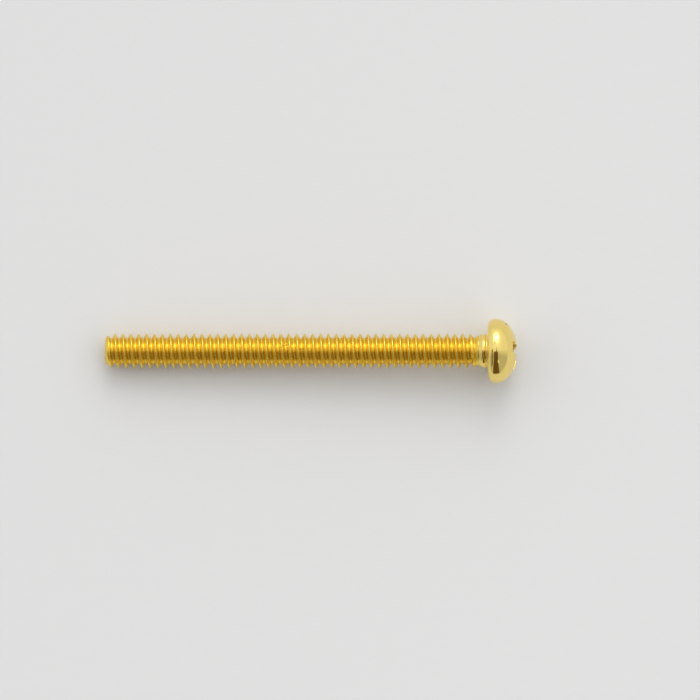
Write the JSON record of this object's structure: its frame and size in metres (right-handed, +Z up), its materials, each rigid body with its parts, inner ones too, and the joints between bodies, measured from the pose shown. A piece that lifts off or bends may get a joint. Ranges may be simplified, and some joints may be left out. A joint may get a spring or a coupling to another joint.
{
  "type": "machine screw",
  "caption": "Long slim machine screw with a domed head and a cross recess, gold-plated and polished, lying on its side.",
  "frame": {"origin": "centre of the bearing face under the head, on the screw's axis", "axes": "+Z up from the floor the screw lies on; +X along the screw towards its head; the axis rises 2.25 degrees towards the head, because the head's rim and the end of the thread both touch the floor"},
  "size_m": [0.0413, 0.0064, 0.0065],
  "materials": {
    "gold_plate": "polished"
  },
  "bodies": {
    "root": {"screw": "gold_plate"}
  },
  "joints": []
}
